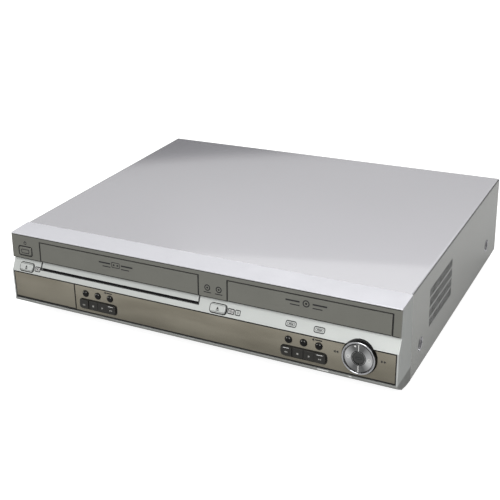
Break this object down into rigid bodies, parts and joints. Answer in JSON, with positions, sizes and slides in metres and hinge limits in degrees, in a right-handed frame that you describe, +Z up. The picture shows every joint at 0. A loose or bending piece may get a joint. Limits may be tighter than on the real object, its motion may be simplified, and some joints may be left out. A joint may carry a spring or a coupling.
{
  "type": "disc and tape combination player",
  "caption": "Full-width silver player with a cassette door, a disc tray, a bronze lower window, key bars, a round keypad and a flip-down jack cover.",
  "frame": {"origin": "bottom centre of the overall box, on the ground under the feet", "axes": "+X to the right seen from the front, -Y out of the front, +Z up"},
  "size_m": [0.43, 0.3516, 0.095],
  "materials": {
    "cover_paint": "matte",
    "silver_plastic": "satin",
    "grey_plastic": "satin metallic",
    "bronze_plastic": "mirror-like",
    "dark_plastic": "gloss",
    "chrome_trim": "polished",
    "spun_metal": "spun",
    "steel_sheet": "satin",
    "black_plastic": "matte",
    "rubber_foot": "matte",
    "screw_steel": "satin",
    "board": "satin",
    "display_glass": "gloss",
    "tin_shell": "satin",
    "jack_plastic": "satin",
    "drum_alloy": "machined",
    "reel_plastic": "satin",
    "capstan_steel": "polished"
  },
  "bodies": {
    "housing": {"top_cover": "cover_paint", "base_chassis": "steel_sheet", "rear_panel": "steel_sheet", "front_bezel": "silver_plastic", "upper_fascia": "grey_plastic", "window_panel": "bronze_plastic", "feet": "rubber_foot", "cover_screws": "screw_steel", "front_jacks": "tin_shell", "dial_housing": "dark_plastic", "dial_trim": "chrome_trim", "front_board": "board", "display_module": "display_glass", "main_board": "board", "power_board": "board", "rear_av_jacks": "jack_plastic", "rf_connectors": "tin_shell", "mains_inlet": "black_plastic", "drive_frame": "black_plastic", "loading_motor": "tin_shell", "traverse_unit": "steel_sheet", "clamp_bridge": "steel_sheet", "deck_plate": "steel_sheet", "drum_lower": "drum_alloy"},
    "cassette_door": {"cassette_door": "grey_plastic", "cassette_door_lip": "silver_plastic"},
    "disc_tray": {"disc_tray": "black_plastic", "tray_front": "grey_plastic"},
    "jack_door": {"jack_door": "bronze_plastic"},
    "power_button": {"power_button": "grey_plastic"},
    "cassette_eject_button": {"cassette_eject_button": "silver_plastic"},
    "disc_eject_button": {"disc_eject_button": "silver_plastic"},
    "left_button_a": {"left_button_a": "dark_plastic"},
    "left_button_b": {"left_button_b": "dark_plastic"},
    "left_button_c": {"left_button_c": "dark_plastic"},
    "left_key_a": {"left_key_a": "dark_plastic"},
    "left_key_b": {"left_key_b": "dark_plastic"},
    "left_key_c": {"left_key_c": "dark_plastic"},
    "left_key_d": {"left_key_d": "dark_plastic"},
    "right_button_a": {"right_button_a": "dark_plastic"},
    "right_button_b": {"right_button_b": "dark_plastic"},
    "right_button_c": {"right_button_c": "dark_plastic"},
    "right_key_a": {"right_key_a": "dark_plastic"},
    "right_key_b": {"right_key_b": "dark_plastic"},
    "right_key_c": {"right_key_c": "dark_plastic"},
    "right_key_d": {"right_key_d": "dark_plastic"},
    "dial_key_left": {"dial_key_left": "spun_metal"},
    "dial_key_right": {"dial_key_right": "spun_metal"},
    "dial_centre_key": {"dial_centre_key": "dark_plastic"},
    "loading_gear": {"loading_gear": "jack_plastic"},
    "turntable": {"turntable": "black_plastic"},
    "pickup_sled": {"pickup_sled": "black_plastic"},
    "clamp_puck": {"clamp_puck": "black_plastic"},
    "cassette_sled": {"cassette_sled": "steel_sheet"},
    "cassette_holder": {"cassette_holder": "steel_sheet"},
    "drum_upper": {"drum_upper": "drum_alloy"},
    "supply_reel": {"supply_reel": "reel_plastic"},
    "takeup_reel": {"takeup_reel": "reel_plastic"},
    "capstan": {"capstan": "capstan_steel"},
    "pinch_arm": {"pinch_arm": "black_plastic"}
  },
  "joints": [
    {"name": "cassette_door_hinge", "type": "hinge", "parent": "housing", "child": "cassette_door", "pos_m": [-0.0822, -0.16189, 0.0866], "axis": [1, 0, 0], "range_deg": [0, 95], "stiffness_Nm_per_rad": 0.01},
    {"name": "disc_tray_slide", "type": "slide", "parent": "housing", "child": "disc_tray", "axis": [0, -1, 0], "range_m": [0, 0.136]},
    {"name": "jack_door_hinge", "type": "hinge", "parent": "housing", "child": "jack_door", "pos_m": [-0.173, -0.16849, 0.026], "axis": [1, 0, 0], "range_deg": [0, 88]},
    {"name": "power_button_press", "type": "slide", "parent": "housing", "child": "power_button", "axis": [0, 0.9954, -0.0957], "range_m": [0, 0.0008], "stiffness_N_per_m": 300},
    {"name": "cassette_eject_button_press", "type": "slide", "parent": "housing", "child": "cassette_eject_button", "axis": [0, 0.8691, -0.4947], "range_m": [0, 0.0008], "stiffness_N_per_m": 300},
    {"name": "disc_eject_button_press", "type": "slide", "parent": "housing", "child": "disc_eject_button", "axis": [0, 0.8691, -0.4947], "range_m": [0, 0.0008], "stiffness_N_per_m": 300},
    {"name": "left_button_a_press", "type": "slide", "parent": "housing", "child": "left_button_a", "axis": [0, 0.9975, -0.0703], "range_m": [0, 0.0008], "stiffness_N_per_m": 300},
    {"name": "left_button_b_press", "type": "slide", "parent": "housing", "child": "left_button_b", "axis": [0, 0.9975, -0.0703], "range_m": [0, 0.0008], "stiffness_N_per_m": 300},
    {"name": "left_button_c_press", "type": "slide", "parent": "housing", "child": "left_button_c", "axis": [0, 0.9975, -0.0703], "range_m": [0, 0.0008], "stiffness_N_per_m": 300},
    {"name": "left_key_a_press", "type": "slide", "parent": "housing", "child": "left_key_a", "axis": [0, 0.9975, -0.0703], "range_m": [0, 0.0008], "stiffness_N_per_m": 300},
    {"name": "left_key_b_press", "type": "slide", "parent": "housing", "child": "left_key_b", "axis": [0, 0.9975, -0.0703], "range_m": [0, 0.0008], "stiffness_N_per_m": 300},
    {"name": "left_key_c_press", "type": "slide", "parent": "housing", "child": "left_key_c", "axis": [0, 0.9975, -0.0703], "range_m": [0, 0.0008], "stiffness_N_per_m": 300},
    {"name": "left_key_d_press", "type": "slide", "parent": "housing", "child": "left_key_d", "axis": [0, 0.9975, -0.0703], "range_m": [0, 0.0008], "stiffness_N_per_m": 300},
    {"name": "right_button_a_press", "type": "slide", "parent": "housing", "child": "right_button_a", "axis": [0, 0.9975, -0.0703], "range_m": [0, 0.0008], "stiffness_N_per_m": 300},
    {"name": "right_button_b_press", "type": "slide", "parent": "housing", "child": "right_button_b", "axis": [0, 0.9975, -0.0703], "range_m": [0, 0.0008], "stiffness_N_per_m": 300},
    {"name": "right_button_c_press", "type": "slide", "parent": "housing", "child": "right_button_c", "axis": [0, 0.9975, -0.0703], "range_m": [0, 0.0008], "stiffness_N_per_m": 300},
    {"name": "right_key_a_press", "type": "slide", "parent": "housing", "child": "right_key_a", "axis": [0, 0.9975, -0.0703], "range_m": [0, 0.0008], "stiffness_N_per_m": 300},
    {"name": "right_key_b_press", "type": "slide", "parent": "housing", "child": "right_key_b", "axis": [0, 0.9975, -0.0703], "range_m": [0, 0.0008], "stiffness_N_per_m": 300},
    {"name": "right_key_c_press", "type": "slide", "parent": "housing", "child": "right_key_c", "axis": [0, 0.9975, -0.0703], "range_m": [0, 0.0008], "stiffness_N_per_m": 300},
    {"name": "right_key_d_press", "type": "slide", "parent": "housing", "child": "right_key_d", "axis": [0, 0.9975, -0.0703], "range_m": [0, 0.0008], "stiffness_N_per_m": 300},
    {"name": "dial_key_left_press", "type": "slide", "parent": "housing", "child": "dial_key_left", "axis": [0, 0.9975, -0.0703], "range_m": [0, 0.0008], "stiffness_N_per_m": 300},
    {"name": "dial_key_right_press", "type": "slide", "parent": "housing", "child": "dial_key_right", "axis": [0, 0.9975, -0.0703], "range_m": [0, 0.0008], "stiffness_N_per_m": 300},
    {"name": "dial_centre_key_press", "type": "slide", "parent": "housing", "child": "dial_centre_key", "axis": [0, 0.9975, -0.0703], "range_m": [0, 0.0008], "stiffness_N_per_m": 300},
    {"name": "loading_gear_spin", "type": "hinge", "parent": "housing", "child": "loading_gear", "pos_m": [0.08, -0.14419, 0.072], "axis": [0, 0, 1], "range_deg": [0, 866.3]},
    {"name": "turntable_spin", "type": "hinge", "parent": "housing", "child": "turntable", "pos_m": [0.126, -0.09019, 0.07], "axis": [0, 0, 1], "continuous": true},
    {"name": "pickup_sled_slide", "type": "slide", "parent": "housing", "child": "pickup_sled", "axis": [0, 1, 0], "range_m": [0, 0.034]},
    {"name": "clamp_puck_spin", "type": "hinge", "parent": "housing", "child": "clamp_puck", "pos_m": [0.126, -0.09019, 0.086], "axis": [0, 0, 1], "continuous": true},
    {"name": "cassette_sled_slide", "type": "slide", "parent": "housing", "child": "cassette_sled", "axis": [0, 1, 0], "range_m": [0, 0.028]},
    {"name": "cassette_holder_drop", "type": "slide", "parent": "cassette_sled", "child": "cassette_holder", "axis": [0, 0, -1], "range_m": [0, 0.024]},
    {"name": "drum_spin", "type": "hinge", "parent": "housing", "child": "drum_upper", "pos_m": [-0.0822, 0.04581, 0.0212], "axis": [0.1045, 0, 0.9945], "continuous": true},
    {"name": "supply_reel_spin", "type": "hinge", "parent": "housing", "child": "supply_reel", "pos_m": [-0.1282, -0.06019, 0.03], "axis": [0, 0, 1], "continuous": true},
    {"name": "takeup_reel_spin", "type": "hinge", "parent": "housing", "child": "takeup_reel", "pos_m": [-0.0362, -0.06019, 0.03], "axis": [0, 0, 1], "continuous": true},
    {"name": "capstan_spin", "type": "hinge", "parent": "housing", "child": "capstan", "pos_m": [-0.0242, 0.00581, 0.03], "axis": [0, 0, 1], "continuous": true},
    {"name": "pinch_arm_swing", "type": "hinge", "parent": "housing", "child": "pinch_arm", "pos_m": [-0.009, 0.02381, 0.033], "axis": [0, 0, 1], "range_deg": [-30, 0]}
  ],
  "couplings": [
    {"joint": "loading_gear_spin", "follows": "disc_tray_slide", "rad_per_m": 111.11}
  ]
}
